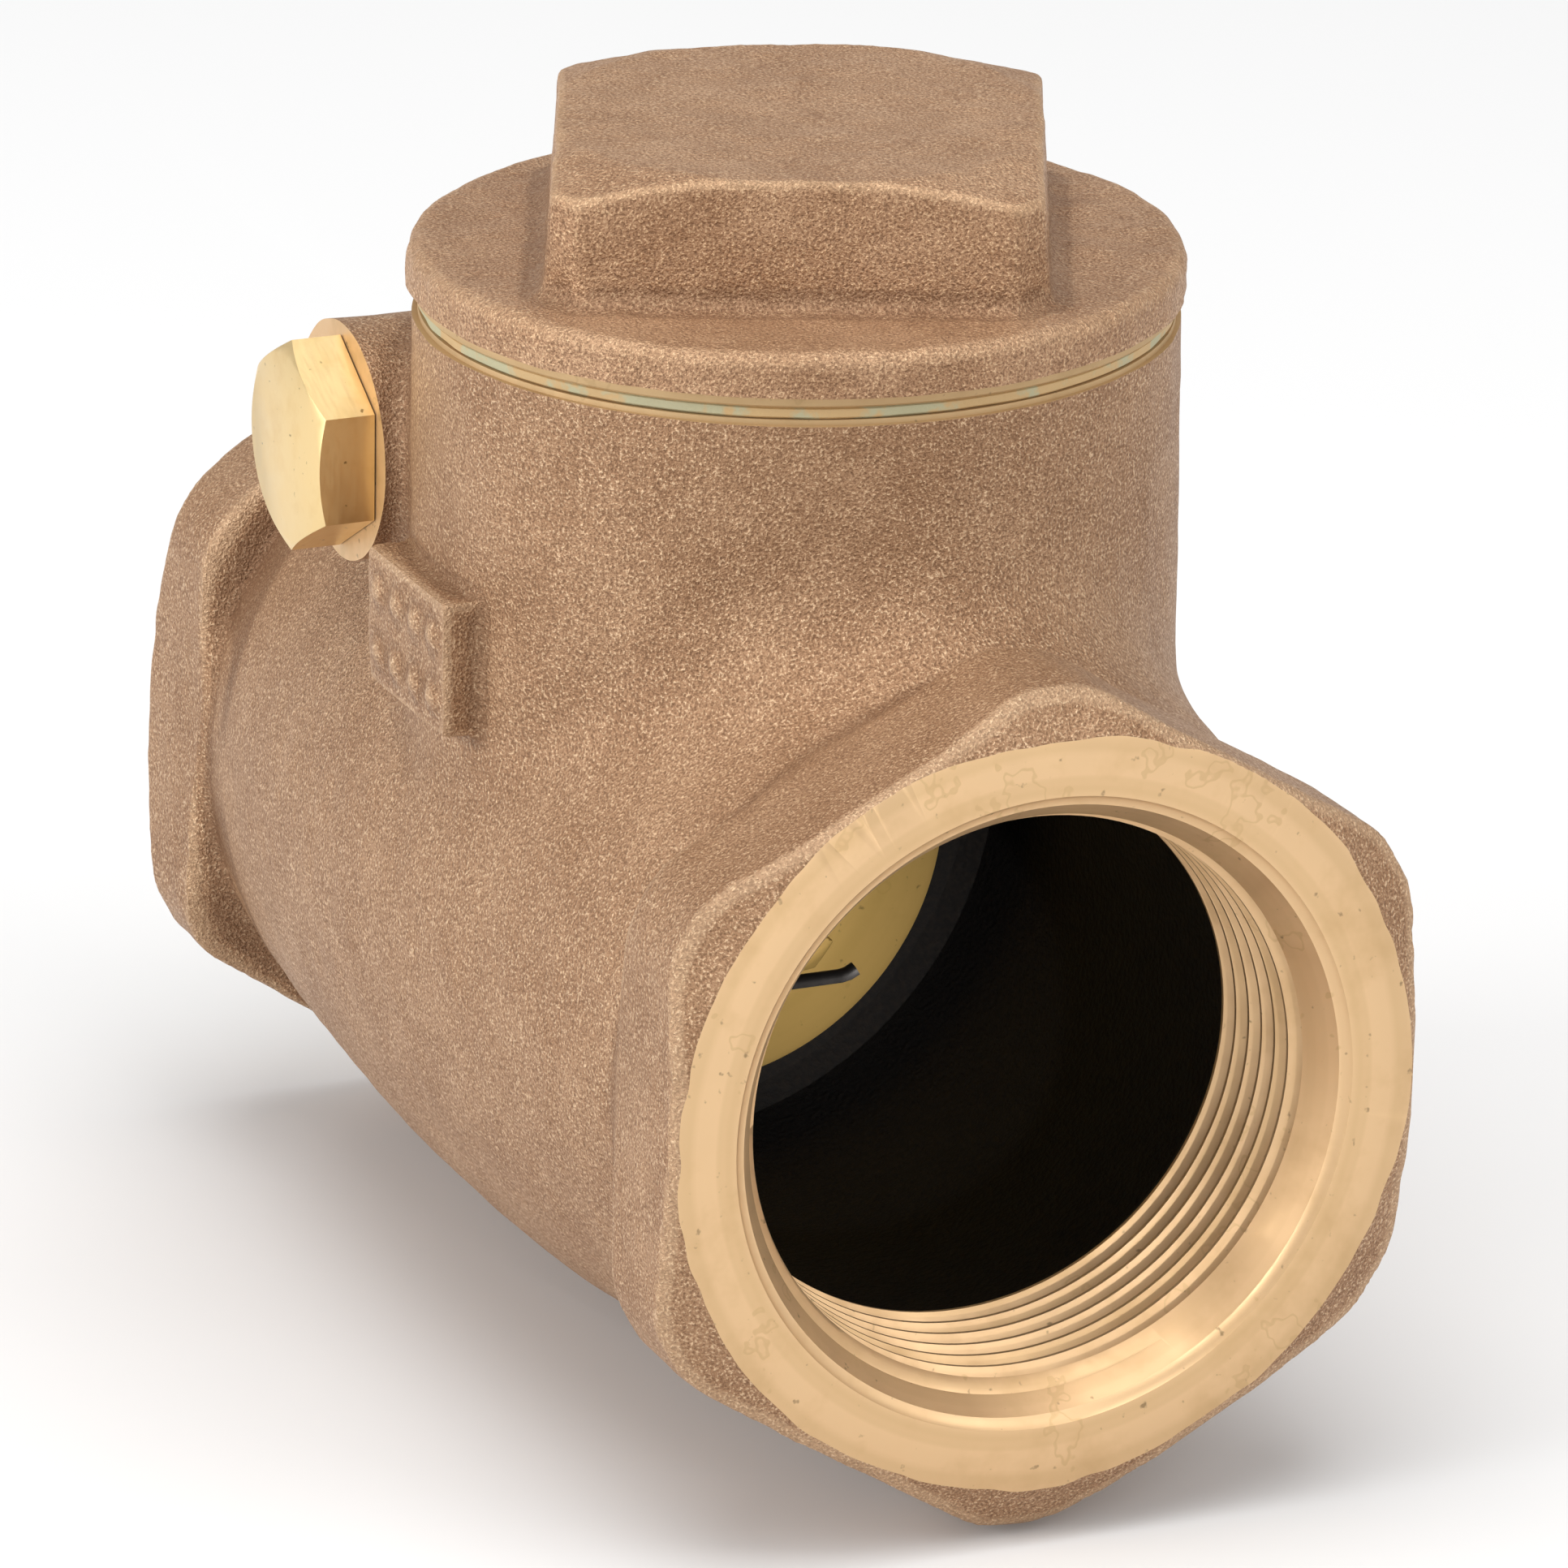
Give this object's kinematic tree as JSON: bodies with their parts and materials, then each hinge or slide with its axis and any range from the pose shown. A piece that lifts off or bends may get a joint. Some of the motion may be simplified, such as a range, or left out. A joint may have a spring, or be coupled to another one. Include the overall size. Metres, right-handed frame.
{
  "type": "swing check valve",
  "caption": "Threaded bronze swing check valve: hexagon collars with pipe sockets, a screwed cap with a square head, and a hinged disc that opens one way.",
  "frame": {"origin": "where the flow axis meets the axis of the cap", "axes": "+X is the flow direction, from inlet to outlet; +Z points to the cap; the hinge pin's plug is on -Y"},
  "size_m": [0.1119, 0.0671, 0.0991],
  "materials": {
    "cast_bronze": "sand cast, grainy",
    "turned_brass": "turned",
    "disc_brass": "satin",
    "pin_steel": "satin",
    "dark_steel": "blackened",
    "joint_sealant": "matte",
    "seat_polymer": "matte"
  },
  "bodies": {
    "valve_body": {"body": "cast_bronze", "hinge_pin": "pin_steel"},
    "hanger": {"disc_hanger": "disc_brass"},
    "disc": {"disc_holder": "disc_brass", "seat_disc": "seat_polymer", "disc_retainer": "disc_brass", "retainer_nut": "turned_brass", "stem_washer": "disc_brass", "castle_nut": "turned_brass", "cotter_pin": "dark_steel"},
    "cap_ring": {"cap_seal": "joint_sealant"},
    "cap": {"cap": "cast_bronze"},
    "plug": {"pin_plug": "turned_brass"}
  },
  "joints": [
    {"name": "disc_swing", "type": "hinge", "parent": "valve_body", "child": "hanger", "pos_m": [-0.0214, 0, 0.0348], "axis": [0, -1, 0], "range_deg": [0, 55]},
    {"name": "disc_spin", "type": "hinge", "parent": "hanger", "child": "disc", "pos_m": [-0.0175, 0, -0.0006], "axis": [1, 0, 0], "continuous": true},
    {"name": "cap_rise", "type": "slide", "parent": "valve_body", "child": "cap_ring", "axis": [0, 0, 1], "range_m": [0, 0.00851]},
    {"name": "cap_turn", "type": "hinge", "parent": "cap_ring", "child": "cap", "pos_m": [0, 0, 0.05], "axis": [0, 0, 1], "range_deg": [0, 1530]},
    {"name": "plug_draw", "type": "slide", "parent": "valve_body", "child": "plug", "axis": [0, -1, 0], "range_m": [0, 0.0063]}
  ],
  "couplings": [
    {"joint": "cap_rise", "follows": "cap_turn", "m_per_rad": 0.00031831}
  ]
}
